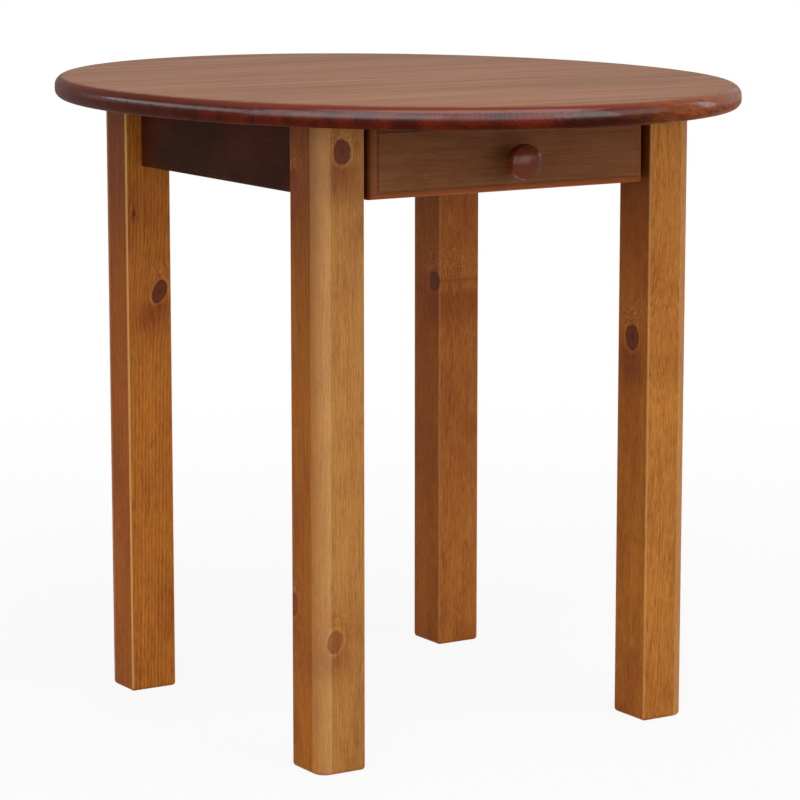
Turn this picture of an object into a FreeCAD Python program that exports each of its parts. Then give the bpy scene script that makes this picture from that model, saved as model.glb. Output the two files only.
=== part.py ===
import FreeCAD, Part
import math
import os
import Sketcher

# An oval pine table on four square legs, with one drawer under the top.
# The origin is on the floor under the middle of the top, +Z is up and the drawer pulls out along -Y.
# Each wooden piece is drawn in a frame of its own and then placed, so equal pieces share one recipe.

os.makedirs("parts", exist_ok=True)
doc = FreeCAD.newDocument("OvalTable")

# ---------------------------------------------------------------- driving dimensions, in millimetres

SIZES = {
    # the table as a whole
    "overall_height": 750,
    "frame_width": 504,
    "frame_depth": 504,
    # the oval top
    "top_length": 920,
    "top_width": 750,
    "top_thickness": 25,
    "top_upper_round": 12,
    "top_lower_round": 9,
    # the legs
    "leg_width": 60,
    "leg_outer_round": 16,
    "leg_arris_round": 3,
    "leg_foot_round": 4.5,
    "leg_flat": 8,
    # the aprons between them
    "apron_height": 84,
    "apron_thickness": 20,
    "apron_inset": 20,
    "apron_arris_round": 5,
    # wooden dowels
    "dowel_diameter": 8,
    "dowel_length": 40,
    "dowel_edge": 18,
    "dowel_spacing": 24,
    "dowel_gap": 0.1,
    "dowel_room": 1,
    # corner blocks, hanger bolts, washers and nuts
    "block_thickness": 22,
    "block_height": 36,
    "block_leg_gap": 1,
    "bolt_diameter": 8,
    "bolt_length": 80,
    "bolt_end": 4,
    "bolt_chamfer": 0.8,
    "bolt_hole_diameter": 9,
    "washer_diameter": 18,
    "washer_thickness": 1.6,
    "nut_across_flats": 13,
    "nut_height": 6.5,
    # countersunk wood screws
    "screw_diameter": 4,
    "screw_head_diameter": 8,
    "screw_head_height": 2.5,
    "screw_point": 5,
    "screw_gap": 0.1,
    "short_screw_length": 28,
    "long_screw_length": 48,
    "block_screw_reach": 27,
    "block_screw_sink": 4.5,
    "top_screw_spread": 32,
    # the window in the front apron and the drawer box that runs through it
    "window_sill": 14,
    "window_lintel": 11,
    "window_block_gap": 2,
    "drawer_side_gap": 2,
    "drawer_foot_gap": 2,
    "drawer_head_gap": 3,
    "drawer_depth": 330,
    "drawer_board": 12,
    "half_pin": 5,
    "pin": 8,
    "tail_slope": 2,
    "bottom_thickness": 4,
    "bottom_lift": 6,
    "groove_depth": 5,
    "groove_gap": 0.1,
    "groove_end_gap": 0.5,
    # the overlay front and its knob
    "front_thickness": 19,
    "front_leg_gap": 9,
    "front_head_gap": 5,
    "front_overhang": 3,
    "front_mould_width": 9,
    "front_mould_round": 7.8,
    "front_mould_step": 1.2,
    "front_field_round": 0.5,
    "front_screw_inset": 22,
    "front_screw_lift": 4,
    "front_screw_rise": 22,
    "knob_drop": 6,
    "knob_diameter": 40,
    "knob_face_diameter": 38.6,
    "knob_back_diameter": 34.5,
    "knob_base_diameter": 17,
    "knob_neck_diameter": 14,
    "knob_projection": 36,
    "knob_dome": 5,
    "knob_shoulder": 7,
    "knob_cheek": 9,
    "knob_neck_radius": 9,
    "knob_flare_radius": 10,
    "knob_bore_depth": 16,
    "knob_screw_diameter": 4,
    "knob_screw_length": 45,
    "knob_screw_head_diameter": 8,
    "knob_screw_head_height": 2.6,
    "knob_screw_head_edge": 1.2,
    "knob_screw_crown_diameter": 5,
    # runners below the drawer sides and kickers above them
    "runner_ledge": 14,
    "runner_ledge_thickness": 14,
    "runner_guide_thickness": 16,
    "runner_guide_rise": 18,
    "runner_side_gap": 1,
    "runner_foot_gap": 0.3,
    "runner_dowel_length": 30,
    "runner_dowel_seat": 10,
    "runner_dowel_inset": 10,
    "runner_dowel_rise": 2,
    "kicker_width": 14,
    "kicker_gap": 1,
    "kicker_screw_inset": 72,
    # the stop that the drawer back meets
    "stop_width": 40,
    "stop_thickness": 16,
    "stop_catch": 7,
    "stop_screw_spread": 24,
}

sheet = doc.addObject("Spreadsheet::Sheet", "sizes")
for row, (alias, value) in enumerate(SIZES.items(), start=1):
    sheet.set(f"A{row}", str(value))
    sheet.setAlias(f"A{row}", alias)
doc.recompute()

# ---------------------------------------------------------------- places worked out from them

HALF_X = "(sizes.frame_width / 2)"
HALF_Y = "(sizes.frame_depth / 2)"
LEG_X = f"({HALF_X} - sizes.leg_width)"
LEG_Y = f"({HALF_Y} - sizes.leg_width)"
# from an inner corner of a leg to the inner faces of the two aprons that meet there
CORNER_DEPTH = "(sizes.leg_width - sizes.apron_inset - sizes.apron_thickness)"
APRON_X = f"({LEG_X} + {CORNER_DEPTH})"
APRON_Y = f"({LEG_Y} + {CORNER_DEPTH})"
APRON_MIDDLE = "(sizes.apron_inset + sizes.apron_thickness / 2)"
UNDERSIDE = "(sizes.overall_height - sizes.top_thickness)"
APRON_FOOT = f"({UNDERSIDE} - sizes.apron_height)"
BOLT_Z = f"({UNDERSIDE} - sizes.block_height / 2)"

# along the diagonal of a corner, counted outwards from the inner corner of the leg
BLOCK_OUTER = "(sizes.leg_flat / sqrt(2) - sizes.block_leg_gap)"
BLOCK_INNER = f"({BLOCK_OUTER} - sizes.block_thickness)"
BLOCK_MIDDLE = f"({BLOCK_OUTER} - sizes.block_thickness / 2)"
WASHER_FACE = f"({BLOCK_INNER} - sizes.washer_thickness)"
NUT_FACE = f"({WASHER_FACE} - sizes.nut_height)"
BOLT_TIP = f"({NUT_FACE} - sizes.bolt_end)"

# where the slanted inner face of a block meets the line of its apron screw, and the seat of the head
BLOCK_SCREW_FACE = f"(sqrt(2) * {BLOCK_INNER} + sizes.block_screw_reach)"
BLOCK_SCREW_SEAT = f"({BLOCK_SCREW_FACE} + sizes.block_screw_sink)"
BLOCK_SCREW_DEPTH = f"(sizes.short_screw_length - {CORNER_DEPTH} + {BLOCK_SCREW_SEAT})"

# the widest drawer that clears the corner blocks behind the front apron
WINDOW_X = f"({LEG_X} + sqrt(2) * {BLOCK_INNER} - {CORNER_DEPTH} - sizes.window_block_gap)"
DRAWER_X = f"({WINDOW_X} - sizes.drawer_side_gap)"
DRAWER_FOOT = f"({APRON_FOOT} + sizes.window_sill + sizes.drawer_foot_gap)"
DRAWER_HEAD = f"({UNDERSIDE} - sizes.window_lintel - sizes.drawer_head_gap)"
DRAWER_HEIGHT = f"({DRAWER_HEAD} - {DRAWER_FOOT})"
DRAWER_Y = f"(sizes.front_thickness - {HALF_Y})"
FRONT_X = f"({LEG_X} - sizes.front_leg_gap)"
FRONT_FOOT = f"({APRON_FOOT} - sizes.front_overhang - {DRAWER_FOOT})"
FRONT_HEAD = f"({UNDERSIDE} - sizes.front_head_gap - {DRAWER_FOOT})"
KNOB_Z = f"(({FRONT_FOOT} + {FRONT_HEAD}) / 2 - sizes.knob_drop)"
FRONT_SCREW_Z = f"({DRAWER_HEIGHT} / 2 + sizes.front_screw_lift)"

ORIGIN = FreeCAD.Vector(0, 0, 0)
UP = FreeCAD.Vector(0, 0, 1)
CORNERS = {"rear_right": (1, 1), "rear_left": (-1, 1), "front_left": (-1, -1), "front_right": (1, -1)}

# ---------------------------------------------------------------- ways of making things


def signed(sign, expression):
    """The expression, or its negative when the sign is negative."""
    return expression if sign > 0 else f"(-{expression})"


def bind_place(item, place):
    """Binds the three coordinates of an object's placement to expressions."""
    for axis, expression in zip("xyz", place):
        item.setExpression(f"Placement.Base.{axis}", expression)


def new_body(label, place=("0", "0", "0"), turn=FreeCAD.Rotation()):
    """An empty body with its own label, turned and then placed in the table's frame."""
    body = doc.addObject("PartDesign::Body", label)
    body.Label = label
    body.Placement = FreeCAD.Placement(ORIGIN, turn)
    bind_place(body, place)
    return body


def new_sketch(body, name, role, offset="0"):
    """A sketch on one of the body's own origin planes, moved along the plane's normal."""
    sketch = body.newObject("Sketcher::SketchObject", name)
    plane = next(item for item in body.Origin.OriginFeatures if item.Role == role)
    sketch.AttachmentSupport = [(plane, "")]
    sketch.MapMode = "FlatFace"
    sketch.setExpression("AttachmentOffset.Base.z", offset)
    return sketch


def facing(local, x, y):
    """The turn about Z that points a direction of the piece's own frame along x, y of the table."""
    return FreeCAD.Rotation(UP, math.degrees(math.atan2(y, x) - math.atan2(local[1], local[0])))


def value_of(item, expression):
    """The number that an expression gives now."""
    found = item.evalExpression(expression)
    return float(getattr(found, "Value", found))


def bind_length(sketch, kind, index, point, expression):
    """Holds one coordinate of a point of the sketch at an expression."""
    number = sketch.addConstraint(
        Sketcher.Constraint(kind, -1, 1, index, point, value_of(sketch, expression))
    )
    sketch.setExpression(f"Constraints[{number}]", expression)


def outline(sketch, corners, bends=None):
    """A closed outline through the corners. Bends gives the signed radius of a side that is an arc."""
    bends = bends or {}
    points = [FreeCAD.Vector(value_of(sketch, x), value_of(sketch, y), 0) for x, y in corners]
    first = sketch.GeometryCount
    for index, start in enumerate(points):
        end = points[(index + 1) % len(points)]
        if index in bends:
            radius, side = bends[index]
            sketch.addGeometry(bent_side(start, end, value_of(sketch, radius) * side))
        else:
            sketch.addGeometry(Part.LineSegment(start, end))
    for index, (x, y) in enumerate(corners):
        geometry = first + index
        start_point, end_point = ends_of(bends, index)
        following = (index + 1) % len(corners)
        next_point = ends_of(bends, following)[0]
        sketch.addConstraint(
            Sketcher.Constraint("Coincident", geometry, end_point, first + following, next_point)
        )
        bind_length(sketch, "DistanceX", geometry, start_point, x)
        bind_length(sketch, "DistanceY", geometry, start_point, y)
    for index, (radius, side) in bends.items():
        number = sketch.addConstraint(
            Sketcher.Constraint("Radius", first + index, value_of(sketch, radius))
        )
        sketch.setExpression(f"Constraints[{number}]", radius)


def ends_of(bends, index):
    """The sketch's numbers for a side's start and end. An arc that turns right is drawn backwards."""
    backwards = index in bends and bends[index][1] < 0
    return (2, 1) if backwards else (1, 2)


def bent_side(start, end, radius):
    """An arc from start to end. A positive radius turns left, a negative one turns right."""
    chord = end - start
    middle = (start + end) / 2
    left = FreeCAD.Vector(-chord.y, chord.x, 0).normalize()
    rise = math.sqrt(radius**2 - (chord.Length / 2) ** 2)
    centre = middle + left * math.copysign(rise, radius)
    circle = Part.Circle(centre, UP, abs(radius))
    first, last = (start, end) if radius > 0 else (end, start)
    return Part.ArcOfCircle(circle, circle.parameter(first), circle.parameter(last))


def rectangle(sketch, left, right, low, high):
    """A closed rectangle between four expressions."""
    outline(sketch, [(left, low), (right, low), (right, high), (left, high)])


def pad(body, sketch, length, reverse=False):
    """Pads the sketch along its normal."""
    feature = body.newObject("PartDesign::Pad", f"{sketch.Name}_pad")
    feature.Profile = sketch
    feature.setExpression("Length", length)
    feature.Reversed = reverse
    doc.recompute()
    return feature


def pocket(body, sketch, depth, reverse=False):
    """Cuts the sketch into the body, against its normal unless reversed, and proves that it cut."""
    before = body.Shape.Volume
    feature = body.newObject("PartDesign::Pocket", f"{sketch.Name}_pocket")
    feature.Profile = sketch
    feature.setExpression("Length", depth)
    feature.Reversed = reverse
    doc.recompute()
    if not feature.Shape.Volume < before:
        raise RuntimeError(f"{feature.Name} cut nothing")
    return feature


def round_edges(body, name, chosen, radius):
    """Rounds the edges of the body that the test chooses."""
    base = body.Tip
    edges = [f"Edge{n}" for n, edge in enumerate(base.Shape.Edges, start=1) if chosen(edge)]
    feature = body.newObject("PartDesign::Fillet", name)
    feature.Base = (base, edges)
    feature.setExpression("Radius", radius)
    doc.recompute()
    return feature


def spans(edge, axis):
    """Lowest and highest coordinate of an edge along an axis."""
    box = edge.BoundBox
    return getattr(box, f"{axis}Min"), getattr(box, f"{axis}Max")


def lies_at(edge, axis, value):
    """True if the whole edge lies at one coordinate along the axis."""
    return all(abs(end - value) < 1e-4 for end in spans(edge, axis))


def drill(body, name, start, toward, diameter, depth):
    """A round hole from a start point toward a direction, both in the body's own frame."""
    hole = body.newObject("PartDesign::SubtractiveCylinder", name)
    hole.Placement = FreeCAD.Placement(ORIGIN, FreeCAD.Rotation(UP, FreeCAD.Vector(*toward)))
    bind_place(hole, start)
    hole.setExpression("Radius", f"{diameter} / 2")
    hole.setExpression("Height", depth)


def countersink(body, name, start, toward):
    """A conical seat for a screw head, wide end at the start point."""
    seat = body.newObject("PartDesign::SubtractiveCone", name)
    seat.Placement = FreeCAD.Placement(ORIGIN, FreeCAD.Rotation(UP, FreeCAD.Vector(*toward)))
    bind_place(seat, start)
    seat.setExpression("Radius1", "sizes.screw_head_diameter / 2 + sizes.screw_gap")
    seat.setExpression("Radius2", "sizes.screw_diameter / 2 + sizes.screw_gap")
    seat.setExpression("Height", "sizes.screw_head_height")


def copies(label, master, places):
    """One node of equal pieces: the master stands at each place with its +Z turned to a direction."""
    links = []
    for number, (place, toward) in enumerate(places, start=1):
        link = doc.addObject("App::Link", f"{label}_{number}")
        link.LinkedObject = master
        link.Placement = FreeCAD.Placement(ORIGIN, FreeCAD.Rotation(UP, FreeCAD.Vector(*toward)))
        bind_place(link, place)
        links.append(link)
    group = doc.addObject("Part::Compound", label)
    group.Label = label
    group.Links = links
    nodes.append(group)


DOWEL_HOLE = "(sizes.dowel_diameter + 2 * sizes.dowel_gap)"
DOWEL_DEPTH = "(sizes.dowel_length / 2 + sizes.dowel_room)"
SCREW_HOLE = "(sizes.screw_diameter + 2 * sizes.screw_gap)"
DOWEL_RISES = ("sizes.dowel_edge", "(sizes.dowel_edge + sizes.dowel_spacing)")
nodes = []

# ---------------------------------------------------------------- the top


def make_table_top():
    """An oval board with a full upper rounding and a smaller lower one, like a worn bullnose."""
    body = new_body("table_top", ("0", "0", UNDERSIDE))
    sketch = new_sketch(body, "top_oval", "XY_Plane")
    half_length = value_of(sketch, "sizes.top_length / 2")
    half_width = value_of(sketch, "sizes.top_width / 2")
    oval = sketch.addGeometry(
        Part.Ellipse(FreeCAD.Vector(0, half_length, 0), FreeCAD.Vector(half_width, 0, 0), ORIGIN)
    )
    sketch.exposeInternalGeometry(oval)
    long_axis, short_axis = oval + 1, oval + 2
    sketch.addConstraint(Sketcher.Constraint("Coincident", oval, 3, -1, 1))
    sketch.addConstraint(Sketcher.Constraint("PointOnObject", long_axis, 1, -2))
    for axis, size in ((long_axis, "sizes.top_length"), (short_axis, "sizes.top_width")):
        number = sketch.addConstraint(Sketcher.Constraint("Distance", axis, value_of(sketch, size)))
        sketch.setExpression(f"Constraints[{number}]", size)
    pad(body, sketch, "sizes.top_thickness")
    height = value_of(sketch, "sizes.top_thickness")
    round_edges(body, "top_upper", lambda e: lies_at(e, "Z", height), "sizes.top_upper_round")
    round_edges(body, "top_lower", lambda e: lies_at(e, "Z", 0), "sizes.top_lower_round")
    for corner, (sx, sy) in CORNERS.items():
        for side, (x, y) in TOP_SCREWS.items():
            place = (signed(sx, f"({LEG_X} + {x})"), signed(sy, f"({LEG_Y} + {y})"), "0")
            drill(body, f"pilot_{side}_{corner}", place, (0, 0, 1), SCREW_HOLE, TOP_SCREW_DEPTH)
    for side, sx in (("left", -1), ("right", 1)):
        for end, sy in (("front", -1), ("rear", 1)):
            place = (signed(sx, KICKER_SCREW_X), signed(sy, KICKER_SCREW_Y), "0")
            drill(body, f"kicker_{side}_{end}", place, (0, 0, 1), SCREW_HOLE, KICKER_SCREW_DEPTH)
    doc.recompute()
    nodes.append(body)


# two screws in each corner block, on its middle line, either side of the bolt
TOP_SCREWS = {
    "near": (
        f"({BLOCK_MIDDLE} - sizes.top_screw_spread / 2) / sqrt(2)",
        f"({BLOCK_MIDDLE} + sizes.top_screw_spread / 2) / sqrt(2)",
    ),
    "far": (
        f"({BLOCK_MIDDLE} + sizes.top_screw_spread / 2) / sqrt(2)",
        f"({BLOCK_MIDDLE} - sizes.top_screw_spread / 2) / sqrt(2)",
    ),
}
TOP_SCREW_DEPTH = "(sizes.long_screw_length - sizes.block_height)"
KICKER_HEIGHT = f"({UNDERSIDE} - {DRAWER_HEAD} - sizes.kicker_gap)"
KICKER_SCREW_X = f"({DRAWER_X} - sizes.kicker_width / 2)"
KICKER_SCREW_Y = f"({APRON_Y} - sizes.kicker_screw_inset)"
KICKER_SCREW_DEPTH = f"(sizes.short_screw_length - {KICKER_HEIGHT})"

# ---------------------------------------------------------------- legs


def make_leg(corner, sx, sy):
    """A square leg whose outer corner points along +X+Y in its own frame, with a foot at z = 0."""
    middle_x = f"({HALF_X} - sizes.leg_width / 2)"
    middle_y = f"({HALF_Y} - sizes.leg_width / 2)"
    place = (signed(sx, middle_x), signed(sy, middle_y), "0")
    body = new_body(f"leg_{corner}", place, facing((1, 1), sx, sy))
    half = "(sizes.leg_width / 2)"
    sketch = new_sketch(body, f"leg_{corner}_section", "XY_Plane")
    rectangle(sketch, f"-{half}", half, f"-{half}", half)
    pad(body, sketch, UNDERSIDE)
    side = value_of(sketch, half)
    round_edges(
        body,
        f"leg_{corner}_outer",
        lambda e: lies_at(e, "X", side) and lies_at(e, "Y", side),
        "sizes.leg_outer_round",
    )
    round_edges(
        body,
        f"leg_{corner}_arrises",
        lambda e: any(lies_at(e, "X", x) and lies_at(e, "Y", y) for x, y in
                      ((-side, -side), (-side, side), (side, -side))),
        "sizes.leg_arris_round",
    )
    round_edges(body, f"leg_{corner}_foot", lambda e: lies_at(e, "Z", 0), "sizes.leg_foot_round")
    # the inner corner is planed flat where the block and the bolt come
    flat = new_sketch(body, f"leg_{corner}_flat", "XY_Plane", UNDERSIDE)
    outline(
        flat,
        [
            (f"-{half}", f"-{half}"),
            (f"(sizes.leg_flat - {half})", f"-{half}"),
            (f"-{half}", f"(sizes.leg_flat - {half})"),
        ],
    )
    pocket(body, flat, "sizes.block_height")
    bolt_depth = f"({BOLT_TIP} + sizes.bolt_length + sizes.dowel_room)"
    drill(
        body,
        f"leg_{corner}_bolt_hole",
        (f"-{half}", f"-{half}", BOLT_Z),
        (1, 1, 0),
        "(sizes.bolt_diameter + 2 * sizes.screw_gap)",
        bolt_depth,
    )
    middle = f"({half} - {APRON_MIDDLE})"
    for number, rise in enumerate(DOWEL_RISES, start=1):
        height = f"({APRON_FOOT} + {rise})"
        drill(body, f"leg_{corner}_x_dowel_{number}", (f"-{half}", middle, height), (1, 0, 0),
              DOWEL_HOLE, DOWEL_DEPTH)
        drill(body, f"leg_{corner}_y_dowel_{number}", (middle, f"-{half}", height), (0, 1, 0),
              DOWEL_HOLE, DOWEL_DEPTH)
    doc.recompute()
    nodes.append(body)


# ---------------------------------------------------------------- aprons

RUNNER_DOWEL_X = f"({DRAWER_X} + sizes.runner_dowel_inset)"
RUNNER_DOWEL_Z = f"({DRAWER_FOOT} + sizes.runner_dowel_rise)"
STOP_SCREW_X = "(sizes.stop_screw_spread / 2)"
STOP_SCREW_Z = f"({UNDERSIDE} - sizes.window_lintel / 2)"
STOP_SCREW_DEPTH = "(sizes.short_screw_length - sizes.stop_thickness)"
APRONS = {"rear": (0, 1), "left": (-1, 0), "front": (0, -1), "right": (1, 0)}


def make_apron(side):
    """A board between two legs, its outer face toward +Y in its own frame, eased on that face."""
    sx, sy = APRONS[side]
    x = f"({sx} * ({HALF_X} - {APRON_MIDDLE}))"
    y = f"({sy} * ({HALF_Y} - {APRON_MIDDLE}))"
    body = new_body(f"{side}_apron", (x, y, APRON_FOOT), facing((0, 1), sx, sy))
    half = LEG_Y if sx else LEG_X
    thick = "(sizes.apron_thickness / 2)"
    sketch = new_sketch(body, f"{side}_apron_plan", "XY_Plane")
    rectangle(sketch, f"-{half}", half, f"-{thick}", thick)
    pad(body, sketch, "sizes.apron_height")
    outer = value_of(sketch, thick)
    top = value_of(sketch, "sizes.apron_height")
    round_edges(
        body,
        f"{side}_apron_arrises",
        lambda e: lies_at(e, "Y", outer) and not lies_at(e, "Z", top),
        "sizes.apron_arris_round",
    )
    if side == "front":
        cut_window(body)
    for name, sign in (("a", 1), ("b", -1)):
        end = signed(sign, half)
        for number, rise in enumerate(DOWEL_RISES, start=1):
            drill(body, f"{side}_dowel_{name}{number}", (end, "0", rise), (-sign, 0, 0),
                  DOWEL_HOLE, DOWEL_DEPTH)
        screw = signed(sign, f"({half} - sizes.block_screw_reach)")
        rise = "(sizes.apron_height - sizes.block_height / 2)"
        drill(body, f"{side}_block_screw_{name}", (screw, f"-{thick}", rise), (0, 1, 0),
              SCREW_HOLE, BLOCK_SCREW_DEPTH)
        if side in ("front", "rear"):
            seat = (signed(sign, RUNNER_DOWEL_X), f"-{thick}", f"({RUNNER_DOWEL_Z} - {APRON_FOOT})")
            drill(body, f"{side}_runner_dowel_{name}", seat, (0, 1, 0), DOWEL_HOLE,
                  "(sizes.runner_dowel_seat + sizes.dowel_room)")
        if side == "front":
            seat = (signed(sign, STOP_SCREW_X), f"-{thick}", f"({STOP_SCREW_Z} - {APRON_FOOT})")
            drill(body, f"stop_screw_{name}", seat, (0, 1, 0), SCREW_HOLE, STOP_SCREW_DEPTH)
    doc.recompute()
    nodes.append(body)


def cut_window(body):
    """The opening in the front apron that the drawer box runs through."""
    face = new_sketch(body, "drawer_window", "XZ_Plane", "sizes.apron_thickness / 2")
    rectangle(face, f"-{WINDOW_X}", WINDOW_X, "sizes.window_sill",
              "(sizes.apron_height - sizes.window_lintel)")
    pocket(body, face, "sizes.apron_thickness")


# ---------------------------------------------------------------- corner blocks


def make_corner_block(corner, sx, sy):
    """A block with mitred ends across a corner. +X of its own frame points out at the leg."""
    place = (signed(sx, LEG_X), signed(sy, LEG_Y), f"({UNDERSIDE} - sizes.block_height)")
    body = new_body(f"corner_block_{corner}", place, facing((1, 0), sx, sy))
    short = f"(sqrt(2) * {CORNER_DEPTH} - {BLOCK_OUTER})"
    long = f"(sqrt(2) * {CORNER_DEPTH} - {BLOCK_INNER})"
    sketch = new_sketch(body, f"block_{corner}_plan", "XY_Plane")
    outline(
        sketch,
        [(BLOCK_INNER, f"-{long}"), (BLOCK_OUTER, f"-{short}"), (BLOCK_OUTER, short),
         (BLOCK_INNER, long)],
    )
    pad(body, sketch, "sizes.block_height")
    middle = "(sizes.block_height / 2)"
    drill(body, f"block_{corner}_bolt", (BLOCK_INNER, "0", middle), (1, 0, 0),
          "sizes.bolt_hole_diameter", "sizes.block_thickness")
    for name, sign in (("a", 1), ("b", -1)):
        place = (BLOCK_MIDDLE, signed(sign, "(sizes.top_screw_spread / 2)"), "0")
        drill(body, f"block_{corner}_top_{name}", place, (0, 0, 1), SCREW_HOLE, "sizes.block_height")
        countersink(body, f"block_{corner}_seat_{name}", place, (0, 0, 1))
        # the screw into the apron runs square to the apron, at half a right angle to the block
        along = f"(({BLOCK_SCREW_FACE} - sizes.block_screw_reach) / sqrt(2))"
        across = signed(-sign, f"(({BLOCK_SCREW_FACE} + sizes.block_screw_reach) / sqrt(2))")
        seat_along = f"(({BLOCK_SCREW_SEAT} - sizes.block_screw_reach) / sqrt(2))"
        seat_across = signed(-sign, f"(({BLOCK_SCREW_SEAT} + sizes.block_screw_reach) / sqrt(2))")
        toward = (1, -sign, 0)
        backed = (f"({along} - sizes.screw_head_diameter)",
                  f"({across} + {sign} * sizes.screw_head_diameter)", middle)
        drill(body, f"block_{corner}_bore_{name}", backed, toward,
              "(sizes.screw_head_diameter + 2 * sizes.screw_gap)",
              "(sizes.block_screw_sink + sqrt(2) * sizes.screw_head_diameter)")
        seat = (seat_along, seat_across, middle)
        drill(body, f"block_{corner}_screw_{name}", seat, toward, SCREW_HOLE, CORNER_DEPTH)
        countersink(body, f"block_{corner}_cone_{name}", seat, toward)
    doc.recompute()
    nodes.append(body)


# ---------------------------------------------------------------- fasteners


def turned(label, corners, bends=None):
    """A round piece, from its half profile of radius and height, about +Z of its own frame."""
    body = new_body(label)
    sketch = new_sketch(body, f"{label}_profile", "XZ_Plane")
    outline(sketch, corners, bends)
    feature = body.newObject("PartDesign::Revolution", f"{label}_turning")
    feature.Profile = sketch
    feature.ReferenceAxis = (sketch, ["V_Axis"])
    feature.Angle = 360
    doc.recompute()
    return body


def make_screw(label, length):
    """A countersunk wood screw: its head's face is at z = 0 and its point at the length."""
    head = "(sizes.screw_head_diameter / 2)"
    shank = "(sizes.screw_diameter / 2)"
    point = f"({length} - sizes.screw_point)"
    return turned(label, [("0", "0"), (head, "0"), (shank, "sizes.screw_head_height"),
                          (shank, point), ("0", length)])


def make_dowel(label, length):
    """A plain round dowel, centred on its own frame."""
    dowel = doc.addObject("Part::Cylinder", label)
    dowel.setExpression("Radius", "sizes.dowel_diameter / 2")
    dowel.setExpression("Height", length)
    return dowel


def make_nut():
    """A hexagon nut with the bolt's hole, its near face at z = 0."""
    prism = doc.addObject("Part::Prism", "nut_prism")
    prism.Polygon = 6
    prism.setExpression("Circumradius", "sizes.nut_across_flats / sqrt(3)")
    prism.setExpression("Height", "sizes.nut_height")
    return ring_of(prism, "nut", "sizes.nut_height")


def make_washer():
    """A plain round washer, its near face at z = 0."""
    disc = doc.addObject("Part::Cylinder", "washer_disc")
    disc.setExpression("Radius", "sizes.washer_diameter / 2")
    disc.setExpression("Height", "sizes.washer_thickness")
    return ring_of(disc, "washer", "sizes.washer_thickness")


def ring_of(blank, name, height):
    """The blank with a hole that the bolt just passes."""
    hole = doc.addObject("Part::Cylinder", f"{name}_hole")
    hole.setExpression("Radius", "sizes.bolt_diameter / 2 + sizes.screw_gap")
    hole.setExpression("Height", height)
    ring = doc.addObject("Part::Cut", name)
    ring.Base = blank
    ring.Tool = hole
    return ring


def corner_places(distance):
    """A point in each corner, at a distance along the diagonal, facing out at the leg."""
    return [
        ((signed(sx, f"({LEG_X} + {distance} / sqrt(2))"),
          signed(sy, f"({LEG_Y} + {distance} / sqrt(2))"), BOLT_Z), (sx, sy, 0))
        for sx, sy in CORNERS.values()
    ]


def make_bolts():
    """Hanger bolts with a plain shank and a pointed wood end, their washers and nuts."""
    radius = "(sizes.bolt_diameter / 2)"
    bolt = turned("hanger_bolt", [
        ("0", "0"), (f"({radius} - sizes.bolt_chamfer)", "0"), (radius, "sizes.bolt_chamfer"),
        (radius, "(sizes.bolt_length - sizes.screw_point)"), ("0", "sizes.bolt_length")])
    copies("leg_hanger_bolts", bolt, corner_places(BOLT_TIP))
    copies("leg_bolt_nuts", make_nut(), corner_places(NUT_FACE))
    copies("leg_bolt_washers", make_washer(), corner_places(WASHER_FACE))


def make_frame_dowels():
    """Two dowels in each end of each apron."""
    dowel = make_dowel("apron_dowel", "sizes.dowel_length")
    half = "sizes.dowel_length / 2"
    places = []
    for sx, sy in CORNERS.values():
        for rise in DOWEL_RISES:
            height = f"({APRON_FOOT} + {rise})"
            middle_x = signed(sx, f"({HALF_X} - {APRON_MIDDLE})")
            middle_y = signed(sy, f"({HALF_Y} - {APRON_MIDDLE})")
            places.append(((signed(sx, f"({LEG_X} - {half})"), middle_y, height), (sx, 0, 0)))
            places.append(((middle_x, signed(sy, f"({LEG_Y} - {half})"), height), (0, sy, 0)))
    copies("apron_dowels", dowel, places)


def make_screws():
    """The countersunk screws that hold the blocks, the top, the kickers, the stop and the front."""
    short = make_screw("short_screw", "sizes.short_screw_length")
    long = make_screw("long_screw", "sizes.long_screw_length")
    into_aprons = []
    into_top = []
    for sx, sy in CORNERS.values():
        seat_x = signed(sx, f"({LEG_X} + {BLOCK_SCREW_SEAT})")
        seat_y = signed(sy, f"({LEG_Y} + {BLOCK_SCREW_SEAT})")
        reach_x = signed(sx, f"({LEG_X} - sizes.block_screw_reach)")
        reach_y = signed(sy, f"({LEG_Y} - sizes.block_screw_reach)")
        into_aprons.append(((seat_x, reach_y, BOLT_Z), (sx, 0, 0)))
        into_aprons.append(((reach_x, seat_y, BOLT_Z), (0, sy, 0)))
        for x, y in TOP_SCREWS.values():
            foot = f"({UNDERSIDE} - sizes.block_height)"
            place = (signed(sx, f"({LEG_X} + {x})"), signed(sy, f"({LEG_Y} + {y})"), foot)
            into_top.append((place, (0, 0, 1)))
    copies("corner_block_screws", short, into_aprons)
    copies("top_screws", long, into_top)
    sides = (-1, 1)
    kicker_foot = f"({DRAWER_HEAD} + sizes.kicker_gap)"
    copies("kicker_screws", short, [
        ((signed(sx, KICKER_SCREW_X), signed(sy, KICKER_SCREW_Y), kicker_foot), (0, 0, 1))
        for sx in sides for sy in sides])
    stop_face = f"(sizes.stop_thickness - {APRON_Y})"
    copies("drawer_stop_screws", short, [
        ((signed(sx, STOP_SCREW_X), stop_face, STOP_SCREW_Z), (0, -1, 0)) for sx in sides])
    copies("drawer_front_screws", short, [
        ((signed(sx, FRONT_SCREW_X), f"({DRAWER_Y} + sizes.drawer_board)",
          f"({DRAWER_FOOT} + {front_screw_height(sz)})"), (0, -1, 0))
        for sx in sides for sz in sides])


# ---------------------------------------------------------------- runners, kickers and stop


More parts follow.
